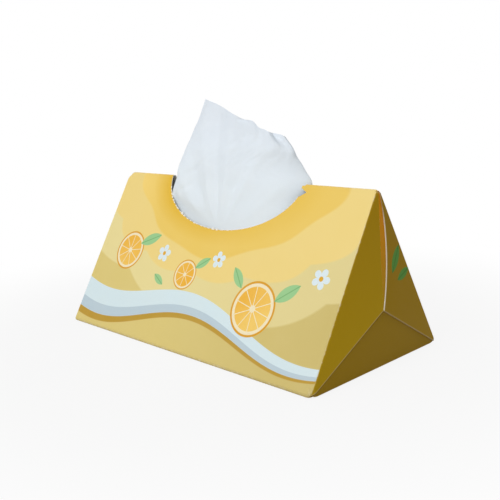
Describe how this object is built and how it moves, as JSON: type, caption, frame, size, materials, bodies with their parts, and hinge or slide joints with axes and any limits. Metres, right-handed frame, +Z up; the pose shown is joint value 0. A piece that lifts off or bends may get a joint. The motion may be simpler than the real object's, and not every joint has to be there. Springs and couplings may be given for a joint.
{
  "type": "tissue box",
  "caption": "Tent-shaped paperboard tissue box with glued end flaps, an oval mouth over its ridge and a gathered sheet standing in it.",
  "frame": {"origin": "middle of the base panel's underside", "axes": "+X along the ridge, front panel towards -Y, +Z up"},
  "size_m": [0.206, 0.1044, 0.1372],
  "materials": {
    "printed_board": "satin",
    "tissue": "matte"
  },
  "bodies": {
    "root": {"carton": "printed_board", "tissue_stack": "tissue", "pulled_tissue": "tissue"}
  },
  "joints": []
}
